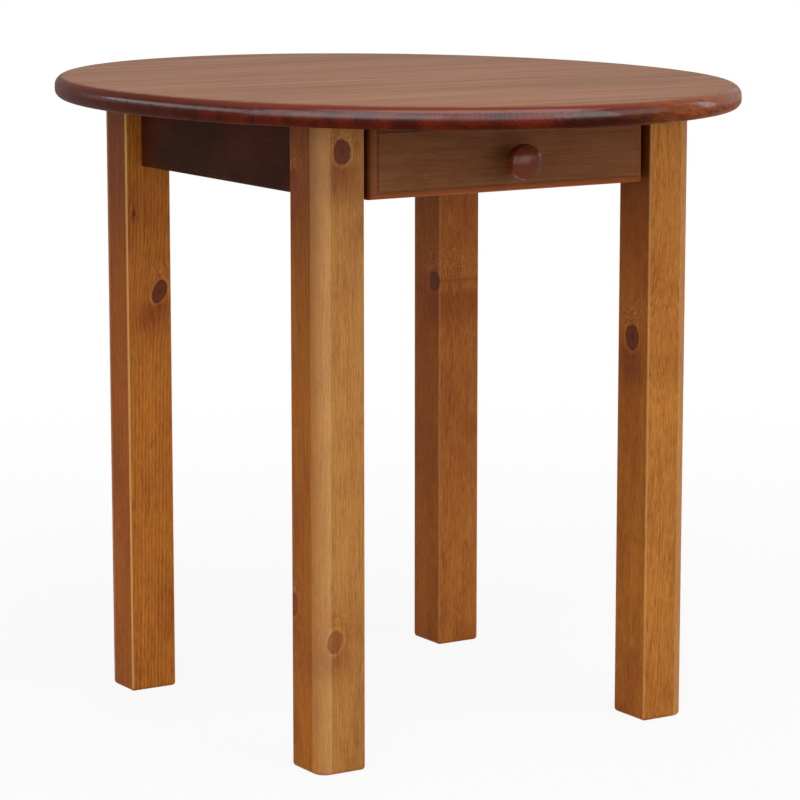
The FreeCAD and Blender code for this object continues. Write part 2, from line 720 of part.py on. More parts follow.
def make_runner(side, sign):
    """An L-shaped rail. The drawer side stands on its ledge and its guide keeps the drawer straight."""
    place = (signed(sign, DRAWER_X), "0", DRAWER_FOOT)
    body = new_body(f"drawer_runner_{side}", place, facing((1, 0), sign, 0))
    sketch = new_sketch(body, f"runner_{side}_section", "XZ_Plane", APRON_Y)
    top = "(-sizes.runner_foot_gap)"
    foot = f"({top} - sizes.runner_ledge_thickness)"
    back = "(sizes.runner_side_gap + sizes.runner_guide_thickness)"
    outline(
        sketch,
        [("(-sizes.runner_ledge)", foot), (back, foot), (back, "sizes.runner_guide_rise"),
         ("sizes.runner_side_gap", "sizes.runner_guide_rise"), ("sizes.runner_side_gap", top),
         ("(-sizes.runner_ledge)", top)],
    )
    pad(body, sketch, f"(2 * {APRON_Y})", reverse=True)
    depth = "(sizes.runner_dowel_length - sizes.runner_dowel_seat + sizes.dowel_room)"
    for name, end in (("front", -1), ("rear", 1)):
        start = ("sizes.runner_dowel_inset", signed(end, APRON_Y), "sizes.runner_dowel_rise")
        drill(body, f"runner_{side}_{name}", start, (0, -end, 0), DOWEL_HOLE, depth)
    doc.recompute()
    nodes.append(body)


def make_runner_dowels():
    """One dowel in each end of each runner, let into the front and rear aprons."""
    dowel = make_dowel("runner_dowel", "sizes.runner_dowel_length")
    back = f"({APRON_Y} + sizes.runner_dowel_seat - sizes.runner_dowel_length)"
    copies("runner_dowels", dowel, [
        ((signed(sx, RUNNER_DOWEL_X), signed(sy, back), RUNNER_DOWEL_Z), (0, sy, 0))
        for sx in (-1, 1) for sy in (-1, 1)])


def make_kicker(side, sign):
    """A batten under the top, just above the drawer side, that keeps the open drawer level."""
    place = (signed(sign, DRAWER_X), "0", UNDERSIDE)
    body = new_body(f"drawer_kicker_{side}", place, facing((1, 0), sign, 0))
    sketch = new_sketch(body, f"kicker_{side}_section", "XZ_Plane", APRON_Y)
    rectangle(sketch, "(-sizes.kicker_width)", "0", f"(-{KICKER_HEIGHT})", "0")
    pad(body, sketch, f"(2 * {APRON_Y})", reverse=True)
    for name, end in (("front", -1), ("rear", 1)):
        start = ("(-sizes.kicker_width / 2)", signed(end, KICKER_SCREW_Y), f"(-{KICKER_HEIGHT})")
        drill(body, f"kicker_{side}_{name}_hole", start, (0, 0, 1), SCREW_HOLE, KICKER_HEIGHT)
        countersink(body, f"kicker_{side}_{name}_seat", start, (0, 0, 1))
    doc.recompute()
    nodes.append(body)


def make_stop():
    """A small block behind the lintel of the window. It catches the drawer back."""
    body = new_body("drawer_stop", ("0", f"(-{APRON_Y})", UNDERSIDE))
    low = f"({DRAWER_HEAD} - {UNDERSIDE} - sizes.stop_catch)"
    sketch = new_sketch(body, "stop_face", "XZ_Plane")
    rectangle(sketch, "(-sizes.stop_width / 2)", "(sizes.stop_width / 2)", low, "0")
    pad(body, sketch, "sizes.stop_thickness", reverse=True)
    for name, sign in (("left", -1), ("right", 1)):
        start = (signed(sign, STOP_SCREW_X), "sizes.stop_thickness", f"({STOP_SCREW_Z} - {UNDERSIDE})")
        drill(body, f"stop_{name}_hole", start, (0, -1, 0), SCREW_HOLE, "sizes.stop_thickness")
        countersink(body, f"stop_{name}_seat", start, (0, -1, 0))
    doc.recompute()
    nodes.append(body)


# ---------------------------------------------------------------- the drawer
# Its pieces share one frame: the middle of the box, against the back of the overlay front, at the foot.

DRAWER_PLACE = ("0", DRAWER_Y, DRAWER_FOOT)
FRONT_SCREW_X = f"({DRAWER_X} - sizes.drawer_board - sizes.front_screw_inset)"
BOARD = "sizes.drawer_board"
TAIL = f"(({DRAWER_HEIGHT} - 2 * sizes.half_pin - sizes.pin) / 2)"
TAIL_FEET = ("sizes.half_pin", f"(sizes.half_pin + {TAIL} + sizes.pin)")
GROOVE_FOOT = "(sizes.bottom_lift - sizes.groove_gap)"
GROOVE_HEAD = "(sizes.bottom_lift + sizes.bottom_thickness + sizes.groove_gap)"
GROOVE_X = f"({DRAWER_X} - {BOARD} + sizes.groove_depth)"
GROOVE_NEAR = f"({BOARD} - sizes.groove_depth)"
GROOVE_FAR = f"(sizes.drawer_depth - {GROOVE_NEAR})"


def front_screw_height(sign):
    """Height of the lower or upper screw that holds the overlay front, above the drawer's foot."""
    return f"({FRONT_SCREW_Z} + {sign} * sizes.front_screw_rise / 2)"


def tail_outline(foot, shoulder, end):
    """One dovetail as seen from the side: narrow at the shoulder and wide at the end of the board."""
    return [(shoulder, f"({foot} + sizes.tail_slope)"), (end, foot), (end, f"({foot} + {TAIL})"),
            (shoulder, f"({foot} + {TAIL} - sizes.tail_slope)")]


def make_drawer_side(side, sign):
    """A side board with two through dovetails cut on each end and a stopped groove for the bottom."""
    body = new_body(f"drawer_side_{side}", DRAWER_PLACE)
    face = DRAWER_X if sign > 0 else f"(-{DRAWER_X} + {BOARD})"
    sketch = new_sketch(body, f"side_{side}_face", "YZ_Plane", face)
    far = "sizes.drawer_depth"
    rear_shoulder = f"({far} - {BOARD})"
    corners = [(BOARD, "0"), (rear_shoulder, "0")]
    for foot in TAIL_FEET:
        corners += tail_outline(foot, rear_shoulder, far)
    corners += [(rear_shoulder, DRAWER_HEIGHT), (BOARD, DRAWER_HEIGHT)]
    for foot in reversed(TAIL_FEET):
        corners += reversed(tail_outline(foot, BOARD, "0"))
    outline(sketch, corners)
    pad(body, sketch, BOARD, reverse=True)
    inner = signed(sign, f"({DRAWER_X} - {BOARD})")
    groove = new_sketch(body, f"side_{side}_groove", "YZ_Plane", inner)
    rectangle(groove, GROOVE_NEAR, GROOVE_FAR, GROOVE_FOOT, GROOVE_HEAD)
    pocket(body, groove, "sizes.groove_depth", reverse=sign > 0)
    doc.recompute()
    nodes.append(body)


def make_pin_board(label, near, inward):
    """The box front or back: its ends have the sockets that the side boards' tails fill."""
    body = new_body(label, DRAWER_PLACE)
    plan = new_sketch(body, f"{label}_plan", "XY_Plane")
    rectangle(plan, f"-{DRAWER_X}", DRAWER_X, near, f"({near} + {BOARD})")
    pad(body, plan, DRAWER_HEIGHT)
    shoulder, end = (f"({near} + {BOARD})", near) if inward > 0 else (near, f"({near} + {BOARD})")
    for name, sign in (("left", -1), ("right", 1)):
        sockets = new_sketch(body, f"{label}_{name}_sockets", "YZ_Plane", signed(sign, DRAWER_X))
        for foot in TAIL_FEET:
            outline(sockets, tail_outline(foot, shoulder, end))
        pocket(body, sockets, BOARD, reverse=sign < 0)
    groove = new_sketch(body, f"{label}_groove", "XZ_Plane", f"-{shoulder}")
    rectangle(groove, f"-{GROOVE_X}", GROOVE_X, GROOVE_FOOT, GROOVE_HEAD)
    pocket(body, groove, "sizes.groove_depth", reverse=inward > 0)
    return body


def make_box_front():
    """The front board of the box, with holes for the screws of the overlay front and the knob."""
    body = make_pin_board("drawer_box_front", "0", 1)
    for name, sx in (("left", -1), ("right", 1)):
        for level, sz in (("low", -1), ("high", 1)):
            start = (signed(sx, FRONT_SCREW_X), BOARD, front_screw_height(sz))
            drill(body, f"box_{name}_{level}_hole", start, (0, -1, 0), SCREW_HOLE, BOARD)
            countersink(body, f"box_{name}_{level}_seat", start, (0, -1, 0))
    drill(body, "box_knob_hole", ("0", BOARD, KNOB_Z), (0, -1, 0), KNOB_HOLE, BOARD)
    doc.recompute()
    nodes.append(body)


def make_box_back():
    """The back board of the box."""
    body = make_pin_board("drawer_box_back", f"(sizes.drawer_depth - {BOARD})", -1)
    doc.recompute()
    nodes.append(body)


def make_drawer_bottom():
    """A thin panel that floats in the grooves of the four boards."""
    body = new_body("drawer_bottom", DRAWER_PLACE)
    sketch = new_sketch(body, "bottom_plan", "XY_Plane", "sizes.bottom_lift")
    width = f"({GROOVE_X} - sizes.groove_end_gap)"
    rectangle(sketch, f"-{width}", width, f"({GROOVE_NEAR} + sizes.groove_end_gap)",
              f"({GROOVE_FAR} - sizes.groove_end_gap)")
    pad(body, sketch, "sizes.bottom_thickness")
    nodes.append(body)


KNOB_HOLE = "(sizes.knob_screw_diameter + 2 * sizes.screw_gap)"


def make_drawer_front():
    """The overlay front: a board with a quarter-round moulding and a small step on all four edges."""
    body = new_body("drawer_front", DRAWER_PLACE)
    moulded = "(sizes.front_thickness - sizes.front_mould_step)"
    sketch = new_sketch(body, "front_outline", "XZ_Plane")
    rectangle(sketch, f"-{FRONT_X}", FRONT_X, FRONT_FOOT, FRONT_HEAD)
    pad(body, sketch, moulded)
    mould_face = -value_of(sketch, moulded)
    round_edges(body, "front_moulding", lambda e: lies_at(e, "Y", mould_face), "sizes.front_mould_round")
    # the flat field stands proud of the moulding by the step
    field = new_sketch(body, "front_field", "XZ_Plane", moulded)
    field_x = f"({FRONT_X} - sizes.front_mould_width)"
    rectangle(field, f"-{field_x}", field_x, f"({FRONT_FOOT} + sizes.front_mould_width)",
              f"({FRONT_HEAD} - sizes.front_mould_width)")
    pad(body, field, "sizes.front_mould_step")
    face = -value_of(sketch, "sizes.front_thickness")
    round_edges(body, "front_field_arrises", lambda e: lies_at(e, "Y", face), "sizes.front_field_round")
    depth = f"(sizes.short_screw_length - {BOARD})"
    for name, sx in (("left", -1), ("right", 1)):
        for level, sz in (("low", -1), ("high", 1)):
            start = (signed(sx, FRONT_SCREW_X), "0", front_screw_height(sz))
            drill(body, f"front_{name}_{level}_pilot", start, (0, -1, 0), SCREW_HOLE, depth)
    drill(body, "front_knob_hole", ("0", "0", KNOB_Z), (0, -1, 0), KNOB_HOLE,
          "sizes.front_thickness")
    doc.recompute()
    nodes.append(body)


def make_knob():
    """A turned mushroom knob: foot, waist, flared back, full round rim and low dome, with a screw bore."""
    bore = f"({KNOB_HOLE} / 2)"
    widest = "(sizes.knob_diameter / 2)"
    face = "(sizes.knob_face_diameter / 2)"
    back = "(sizes.knob_back_diameter / 2)"
    face_rise = "(sizes.knob_projection - sizes.knob_dome)"
    widest_rise = f"({face_rise} - sizes.knob_shoulder)"
    back_rise = f"({widest_rise} - sizes.knob_cheek)"
    waist_rise = f"({back_rise} / 2)"
    dome_radius = f"(({face} ^ 2 + sizes.knob_dome ^ 2) / (2 * sizes.knob_dome))"
    # the rim's two arcs meet where the knob is widest, both square to its radius there
    shoulder_step = f"({widest} - {face})"
    cheek_step = f"({widest} - {back})"
    shoulder_radius = f"((sizes.knob_shoulder ^ 2 + {shoulder_step} ^ 2) / (2 * {shoulder_step}))"
    cheek_radius = f"((sizes.knob_cheek ^ 2 + {cheek_step} ^ 2) / (2 * {cheek_step}))"
    body = turned(
        "drawer_knob",
        [(bore, "0"), ("(sizes.knob_base_diameter / 2)", "0"),
         ("(sizes.knob_neck_diameter / 2)", waist_rise), (back, back_rise), (widest, widest_rise),
         (face, face_rise), ("0", "sizes.knob_projection"), ("0", "sizes.knob_bore_depth"),
         (bore, "sizes.knob_bore_depth")],
        {1: ("sizes.knob_neck_radius", -1), 2: ("sizes.knob_flare_radius", -1),
         3: (cheek_radius, 1), 4: (shoulder_radius, 1), 5: (dome_radius, 1)},
    )
    body.Placement = FreeCAD.Placement(ORIGIN, FreeCAD.Rotation(UP, FreeCAD.Vector(0, -1, 0)))
    bind_place(body, ("0", f"(-{HALF_Y})", f"({DRAWER_FOOT} + {KNOB_Z})"))
    doc.recompute()
    nodes.append(body)


def make_knob_screw():
    """A machine screw with a low round head, put in from inside the box."""
    head = "(sizes.knob_screw_head_diameter / 2)"
    shank = "(sizes.knob_screw_diameter / 2)"
    rise = "(-sizes.knob_screw_head_height)"
    crown = "(sizes.knob_screw_crown_diameter / 2)"
    body = turned("knob_screw", [("0", rise), (crown, rise), (head, "(-sizes.knob_screw_head_edge)"),
                                 (head, "0"), (shank, "0"), (shank, "sizes.knob_screw_length"),
                                 ("0", "sizes.knob_screw_length")])
    body.Placement = FreeCAD.Placement(ORIGIN, FreeCAD.Rotation(UP, FreeCAD.Vector(0, -1, 0)))
    bind_place(body, ("0", f"({DRAWER_Y} + {BOARD})", f"({DRAWER_FOOT} + {KNOB_Z})"))
    doc.recompute()
    nodes.append(body)


# ---------------------------------------------------------------- put it together

make_table_top()
for corner, (sx, sy) in CORNERS.items():
    make_leg(corner, sx, sy)
    make_corner_block(corner, sx, sy)
for side in APRONS:
    make_apron(side)
make_bolts()
make_frame_dowels()
make_screws()
for side, sign in (("left", -1), ("right", 1)):
    make_runner(side, sign)
    make_kicker(side, sign)
    make_drawer_side(side, sign)
make_runner_dowels()
make_stop()
make_drawer_front()
make_box_front()
make_box_back()
make_drawer_bottom()
make_knob()
make_knob_screw()
doc.recompute()

# ---------------------------------------------------------------- prove it and write it

for item in doc.Objects:
    if "Invalid" in item.State or "Error" in item.State:
        raise RuntimeError(f"{item.Label} failed: {item.State}")
for node in nodes:
    if node.Shape.isNull() or not node.Shape.isValid() or not node.Shape.Solids:
        raise RuntimeError(f"{node.Label} has no valid shape")
for node in nodes:
    node.Shape.exportStep(os.path.join("parts", f"{node.Label}.step"))
    print(f"{node.Label}: {len(node.Shape.Solids)} solids, {node.Shape.Volume / 1000:.1f} cm3")
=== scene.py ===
import math
from typing import NamedTuple

import bmesh
import bpy
import numpy as np
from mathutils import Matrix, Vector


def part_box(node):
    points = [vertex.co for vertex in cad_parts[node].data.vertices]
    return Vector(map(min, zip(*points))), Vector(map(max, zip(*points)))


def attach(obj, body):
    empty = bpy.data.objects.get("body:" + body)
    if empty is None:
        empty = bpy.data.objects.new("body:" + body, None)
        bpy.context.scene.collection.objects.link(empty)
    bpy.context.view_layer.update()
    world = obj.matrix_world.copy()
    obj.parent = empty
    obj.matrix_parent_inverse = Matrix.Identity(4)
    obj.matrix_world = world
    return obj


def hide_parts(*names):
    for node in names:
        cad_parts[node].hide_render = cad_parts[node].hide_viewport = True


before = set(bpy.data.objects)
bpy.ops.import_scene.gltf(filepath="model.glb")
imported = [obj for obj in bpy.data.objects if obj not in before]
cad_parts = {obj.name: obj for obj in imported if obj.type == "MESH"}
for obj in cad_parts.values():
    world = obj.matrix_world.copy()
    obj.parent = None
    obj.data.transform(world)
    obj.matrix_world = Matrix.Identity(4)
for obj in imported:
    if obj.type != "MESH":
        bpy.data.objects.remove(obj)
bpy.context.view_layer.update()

# ------------------------------------------------------------------ legs
# Four square posts of knotty pine under a honey-coloured satin varnish, each bolted to its corner block. The
# outer corner is rounded off wide and the other arrises are only eased. The rounding and every arris are
# painted paler than the faces, partly as thinner stain and partly as a painted highlight.

# Sizes and places are in metres. Colours are written as they look, from 0 to 255.
leg_low, leg_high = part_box("leg_front_right")
leg_middle = (leg_low[0] + leg_high[0]) / 2
leg_half = (leg_high[0] - leg_low[0]) / 2
leg_top = leg_high[2]
leg_rounding = 0.016
relief_strength = 0.6
knot_raggedness = 0.45
knot_push = 0.8
# Painted shade under the top: colours that darken the upper legs.
painted_shade_under_top = (196, 178, 150)
deep_painted_shade_under_top = (150, 130, 100)
red_blotch = (150, 68, 22)
# Painted highlight with some real wear: paler colours for the rounding and the arrises.
rounding_wear_and_highlight = (226, 180, 124)
arris_wear_and_highlight = (232, 182, 112)
knot_halo = (158, 74, 22)
knot_tongue = (104, 40, 22)
knot_curl_sheen = (224, 164, 96)
knot_edge = (132, 54, 26)
knot_heart = (96, 46, 30)
knot_bark = (58, 22, 14)


class Term:
    """A number that changes over the wood. Terms are added, multiplied and so on like plain numbers."""

    def __init__(self, finish, socket):
        self.finish = finish
        self.socket = socket

    def __add__(self, other):
        return self.finish.math("ADD", self, other)

    def __sub__(self, other):
        return self.finish.math("SUBTRACT", self, other)

    def __rsub__(self, other):
        return self.finish.math("SUBTRACT", other, self)

    def __mul__(self, other):
        return self.finish.math("MULTIPLY", self, other)

    def __truediv__(self, other):
        return self.finish.math("DIVIDE", self, other)

    def __pow__(self, other):
        return self.finish.math("POWER", self, other)

    def __neg__(self):
        return self.finish.math("MULTIPLY", self, -1.0)

    def __abs__(self):
        return self.finish.math("ABSOLUTE", self)

    __radd__ = __add__
    __rmul__ = __mul__


class Finish:
    """One finish: a material whose colour, gloss and relief are worked out from the place on the piece."""

    def __init__(self, name):
        self.material = bpy.data.materials.new(name)
        self.material.use_nodes = True
        self.tree = self.material.node_tree
        self.shader = self.tree.nodes["Principled BSDF"]
        self.colour = None
        place = self.tree.nodes.new("ShaderNodeTexCoord")
        split = self.tree.nodes.new("ShaderNodeSeparateXYZ")
        self.tree.links.new(place.outputs["Object"], split.inputs[0])
        self.x, self.y, self.z = (Term(self, output) for output in split.outputs)

    def plug(self, value, socket):
        """Puts a term, a node's output or a plain value into a node's input."""
        if isinstance(value, Term):
            value = value.socket
        if isinstance(value, bpy.types.NodeSocket):
            self.tree.links.new(value, socket)
        else:
            socket.default_value = value

    def math(self, operation, *values):
        """The term that a Math node gives for the values."""
        node = self.tree.nodes.new("ShaderNodeMath")
        node.operation = operation
        for value, socket in zip(values, node.inputs):
            self.plug(value, socket)
        return Term(self, node.outputs[0])

    def rise(self, value, low, high, bottom=0.0, top=1.0):
        """Climbs smoothly from bottom to top as the value goes from low to high."""
        node = self.tree.nodes.new("ShaderNodeMapRange")
        node.interpolation_type = "SMOOTHSTEP"
        for item, socket in zip((value, low, high, bottom, top), node.inputs):
            self.plug(item, socket)
        return Term(self, node.outputs[0])

    def cloud(self, x, y, z, detail=3.0, rough=0.5):
        """Soft random tone around 0, from about -0.5 to 0.5.

        What a place is multiplied by is about how many patches come to a metre.
        """
        node = self.tree.nodes.new("ShaderNodeTexNoise")
        join = self.tree.nodes.new("ShaderNodeCombineXYZ")
        for value, socket in zip((x, y, z), join.inputs):
            self.plug(value, socket)
        self.tree.links.new(join.outputs[0], node.inputs["Vector"])
        node.inputs["Scale"].default_value = 1.0
        node.inputs["Detail"].default_value = detail
        node.inputs["Roughness"].default_value = rough
        return Term(self, node.outputs["Fac"]) - 0.5

    def patches(self, per_metre, seed=0.0, detail=3.0, rough=0.5):
        """A cloud over the whole piece, with about so many patches to the metre along x, y and z."""
        x, y, z = per_metre
        return self.cloud(self.x * x, self.y * y, self.z * z + seed, detail, rough)

    def blend(self, amount, first, second, how="MIX"):
        """From the first colour to the second, or to first times second, as the amount goes from 0 to 1."""
        node = self.tree.nodes.new("ShaderNodeMix")
        node.data_type = "RGBA"
        node.blend_type = how
        self.plug(amount, node.inputs[0])
        for colour, socket in ((first, node.inputs[6]), (second, node.inputs[7])):
            if isinstance(colour, tuple):
                colour = tuple(light_of(part) for part in colour) + (1.0,)
            self.plug(colour, socket)
        return node.outputs[2]

    def stain(self, tone, pale, deep):
        """The first coat, from the pale colour to the deep one as the tone goes from 0 to 1."""
        self.colour = self.blend(tone, pale, deep)

    def paint_shade(self, amount, colour):
        """Darkens what is there by multiplying it with a colour, as painted shade."""
        self.colour = self.blend(amount, self.colour, colour, "MULTIPLY")

    def paint(self, amount, colour):
        """Covers what is there with another colour."""
        self.colour = self.blend(amount, self.colour, colour)

    def polish(self, roughness, shine, relief, depth):
        """Puts the colour on the piece with its roughness, its shine and its relief, in metres of depth."""
        self.plug(self.colour, self.shader.inputs["Base Color"])
        self.plug(roughness, self.shader.inputs["Roughness"])
        self.shader.inputs["Specular IOR Level"].default_value = shine
        bump = self.tree.nodes.new("ShaderNodeBump")
        bump.inputs["Strength"].default_value = relief_strength
        bump.inputs["Distance"].default_value = depth
        self.plug(relief, bump.inputs["Height"])
        self.tree.links.new(bump.outputs["Normal"], self.shader.inputs["Normal"])

    def wear(self, node):
        """Gives the finish to a node of the frame."""
        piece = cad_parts[node]
        piece.data.materials.clear()
        piece.data.materials.append(self.material)


def light_of(part):
    """The amount of light in a red, green or blue part that is written as it looks."""
    part = part / 255
    return part / 12.92 if part <= 0.04045 else ((part + 0.055) / 1.055) ** 2.4


class Knot(NamedTuple):
    """A knot. Its middle lies along x in the front or back face, and along y in a side face.

    Tall is its height for a width of 1, and dark is how strongly it stands out.
    """

    axis: str
    middle: float
    height: float
    radius: float
    tall: float
    dark: float
    tilt: float = 0.0


class Grain(NamedTuple):
    """What growth leaves in the wood: late wood of the rings, fine fibre, and the marks of the knots."""

    late: Term
    fibre: Term
    disc: Term
    rim: Term
    curls: Term
    tongue: Term
    halo: Term


def knot_marks(finish, knot, across, length, seed):
    """A knot's disc, its rim, the curls over it, which are painted pale as a sheen, the red tongue below it
    and the soft tone around it.

    It also pushes the grain aside, which changes across. Above, aside and span are in radii of the knot.
    """
    side = "xy".index(knot.axis)
    lift = length - knot.height
    shift = across[side] - knot.middle - lift * knot.tilt
    ragged = finish.cloud(across[side] * 130, lift * 100, seed + knot.height * 9) * knot_raggedness
    above = lift / knot.radius
    aside = shift / knot.radius
    span = finish.math("SQRT", aside ** 2 + (above / knot.tall) ** 2) + ragged
    near = finish.math("EXPONENT", -(aside / 2.4) ** 2 - (above / 4.5) ** 2)
    across[side] = across[side] - shift * near * knot_push

    disc = finish.rise(span, 1.12, 0.88)
    bark = finish.rise(span, 0.6, 0.95) * finish.rise(span, 1.14, 0.98)
    pith = finish.rise(span, 0.55, 0.1) * 0.7 + finish.math("SINE", span * 22) * 0.2
    rim = bark * 0.6 + pith * finish.rise(span, 1.0, 0.8)

    beside = finish.math("EXPONENT", -(aside / 2.2) ** 2) * finish.rise(span, 1.05, 1.3)
    slant = lift * 210 + shift * 160
    wave = finish.cloud(across[side] * 330, slant, across[1 - side] * 260 + seed, detail=1.0)
    crest = finish.rise(abs(wave), 0.07, 0.0)
    curls = beside * crest * finish.rise(above, 0.3, 1.2) * finish.rise(above, 5.0, 2.2)
    tongue = beside * finish.rise(above, -0.6, -1.8) * finish.rise(above, -6.0, -2.8)
    halo = near * finish.rise(span, 1.15, 1.55)
    return disc * knot.dark, rim * knot.dark, curls * knot.dark, tongue * knot.dark, halo


def grow(finish, along, heart, lean, ring, seed, knots=(), waver=0.008):
    """Grain along one axis, from growth rings round the heart of the tree.

    The heart leans and wavers over the length. A ring is so many metres wide, and uneven from year to year.
    """
    length = getattr(finish, along)
    across = [getattr(finish, axis) for axis in "xyz" if axis != along]
    marks = [0.0] * len(Grain._fields[2:])
    for knot in knots:
        fresh = knot_marks(finish, knot, across, length, seed)
        marks = [finish.math("MAXIMUM", old, new) for old, new in zip(marks, fresh)]
    sway = (finish.cloud(across[0] * 9 + seed, across[1] * 9, length * 2.3, detail=2.0),
            finish.cloud(across[0] * 9, across[1] * 9 + seed, length * 2.3 + 7, detail=2.0))
    out = [across[i] - heart[i] - length * lean[i] + sway[i] * waver for i in (0, 1)]
    reach = finish.math("SQRT", out[0] * out[0] + out[1] * out[1])
    uneven = finish.cloud(reach * 90, length * 1.2, seed, detail=1.0)
    year = finish.math("FRACT", reach / ring + uneven * 1.6)
    late = finish.rise(year, 0.25, 0.86) * finish.rise(year, 1.0, 0.9)
    fibre = finish.cloud(across[0] * 720, across[1] * 720, length * 42 + seed, detail=2.0, rough=0.7)
    return Grain(late, fibre, *marks)


def varnish_leg(corner, out_x, out_y, pale, deep, side_without_sheen, heart, lean, ring, figure, coarse, rub_and_highlight, seed,
                knots, front_shade=0.0):
    """Gives a leg its pine. Pale and deep hold a painted sheen, which the left and right faces are painted
    without, and those faces get painted shade towards the top.

    Out_x and out_y are the signs of its outer corner. The last setting is how far its front and back get that
    painted shade as well.
    """
    wood = Finish(f"honey_pine_{corner}")
    grain = grow(wood, "z", heart, lean, ring, seed, knots)
    fleck = wood.patches((900, 900, 95), seed, detail=2.0, rough=0.7)
    streak = wood.patches((190, 190, 6), seed, detail=4.0, rough=0.6)
    blotch = wood.patches((16, 16, 8), seed, detail=4.0, rough=0.6)
    tone = grain.late * figure + (grain.fibre + fleck) * coarse + streak * 0.55 + blotch * 0.7
    tone = tone + grain.halo * 0.14 + 0.44 - figure * 0.4
    wood.stain(wood.rise(tone, -0.25, 1.25), pale, deep)

    # Where this place is: on the rounded outer corner, on another arris, or on a side face.
    x = wood.x * out_x - leg_middle
    y = wood.y * out_y - leg_middle
    rounding_start = leg_half - leg_rounding
    nearest = wood.math("MINIMUM", x, y)
    rounding = wood.rise(nearest, rounding_start - 0.0005, rounding_start + 0.0002)
    arris = wood.rise(abs(x) + abs(y), leg_half * 2 - 0.0025, leg_half * 2 - 0.0019)
    turning = rounding * 0.012 + 0.002
    side_face = wood.rise(abs(x) - abs(y), -turning, turning)
    shaded = side_face + (1 - side_face) * front_shade

    # Painted sheen difference: the side faces are darkened and warmed, as they lack the sheen painted into
    # the front colours.
    wood.paint_shade(side_face, side_without_sheen)
    # Painted shade under the top, on the side faces and, where a leg asks for it, on its front and back too.
    wood.paint_shade(shaded * wood.rise(wood.z, 0.0, leg_top) * 0.6, painted_shade_under_top)
    wood.paint_shade(shaded * wood.rise(wood.z, leg_top - 0.225, leg_top - 0.015) * 0.62, deep_painted_shade_under_top)
    wood.paint(grain.halo * 0.3, knot_halo)
    wood.paint(wood.rise(blotch, 0.02, 0.2) * 0.3, red_blotch)
    wood.paint(grain.tongue * 0.5, knot_tongue)
    # Painted sheen on the pale curls of grain over the knots.
    wood.paint(grain.curls * 0.4, knot_curl_sheen)
    # Painted highlight with some real wear: the rounding and the arrises are painted paler.
    wood.paint(rounding * 0.22, rounding_wear_and_highlight)
    wood.paint(arris * (1 - rounding) * rub_and_highlight, arris_wear_and_highlight)
    wood.paint(wood.rise(grain.disc, 0.0, 0.8) * 0.9,
               wood.blend(wood.rise(grain.disc, 0.3, 0.85), knot_edge, knot_heart))
    wood.paint(wood.math("MINIMUM", grain.rim, 1.0) * 0.5, knot_bark)
    wood.polish(0.4 + grain.fibre * 0.12 + grain.late * 0.05, shine=0.045,
                relief=grain.fibre * 0.6 - grain.late * 0.3 - grain.rim * 0.5, depth=0.0003)
    wood.wear(f"leg_{corner}")


varnish_leg("front_left", -1, -1, pale=(196, 139, 72), deep=(124, 66, 30), side_without_sheen=(255, 220, 122),
            heart=(-0.17, -0.2), lean=(0.02, 0.006), ring=0.0024, figure=0.1, coarse=0.9, rub_and_highlight=0.3,
            seed=1.3,
            knots=(Knot("x", middle=-0.2205, height=0.693, radius=0.0108, tall=1.3, dark=0.85),
                   Knot("x", middle=-0.2318, height=0.152, radius=0.0095, tall=1.38, dark=0.5, tilt=0.1),
                   Knot("y", middle=-0.1965, height=0.187, radius=0.0095, tall=1.5, dark=0.55),
                   Knot("y", middle=-0.203, height=0.66, radius=0.009, tall=1.2, dark=0.45)))
varnish_leg("front_right", 1, -1, pale=(199, 132, 56), deep=(128, 63, 22), side_without_sheen=(255, 241, 209),
            heart=(0.19, -0.3), lean=(0.01, 0.024), ring=0.0019, figure=0.16, coarse=1.3, rub_and_highlight=0.3,
            seed=4.1,
            knots=(Knot("y", middle=-0.2205, height=0.454, radius=0.0125, tall=1.2, dark=1.0),))
varnish_leg("rear_left", -1, 1, pale=(201, 126, 45), deep=(130, 60, 22), side_without_sheen=(246, 221, 152),
            heart=(-0.31, 0.27), lean=(0.014, -0.01), ring=0.0036, figure=0.3, coarse=1.2, rub_and_highlight=0.6,
            seed=7.7,
            knots=(Knot("x", middle=-0.2085, height=0.489, radius=0.0098, tall=1.35, dark=0.95, tilt=0.3),
                   Knot("x", middle=-0.2415, height=0.585, radius=0.0022, tall=2.0, dark=0.8)))
varnish_leg("rear_right", 1, 1, pale=(201, 126, 57), deep=(120, 56, 24), side_without_sheen=(244, 224, 160),
            heart=(0.2, 0.17), lean=(0.016, 0.02), ring=0.0022, figure=0.18, coarse=1.2, rub_and_highlight=0.2,
            seed=9.2, front_shade=1.0,
            knots=(Knot("y", middle=0.204, height=0.472, radius=0.0115, tall=1.15, dark=0.75),))

# ------------------------------------------------------------------ aprons
# Four pine boards under the top, joined to the legs by two dowels at each end.
# They are stained dark walnut before varnishing, so the grain only just shows.

walnut_brown = (80, 37, 19)
walnut_black = (34, 17, 10)
for side, along, heart, seed in (("front", "x", (-0.2, 0.62), 2.0), ("rear", "x", (0.25, 0.64), 3.0),
                                 ("left", "y", (-0.25, 0.63), 5.0), ("right", "y", (0.2, 0.65), 6.0)):
    wood = Finish(f"walnut_stain_{side}_apron")
    grain = grow(wood, along, heart, lean=(0.01, 0.02), ring=0.0038, seed=seed)
    blotch = wood.patches((9, 9, 22), seed)
    tone = grain.late * 0.08 + grain.fibre * 0.7 + blotch * 1.5 + 0.46
    wood.stain(wood.rise(tone, -0.1, 1.1), walnut_brown, walnut_black)
    wood.polish(0.46 + grain.fibre * 0.12, shine=0.015,
                relief=grain.fibre * 0.5 + grain.late * 0.3, depth=0.0002)
    wood.wear(f"{side}_apron")

# ------------------------------------------------------------------ corner blocks, runners, kickers and stop
# Plain pine battens and blocks, sanded and left without stain because they are out of sight.
# Screws, dowels and glue hold them under the top and inside the aprons.

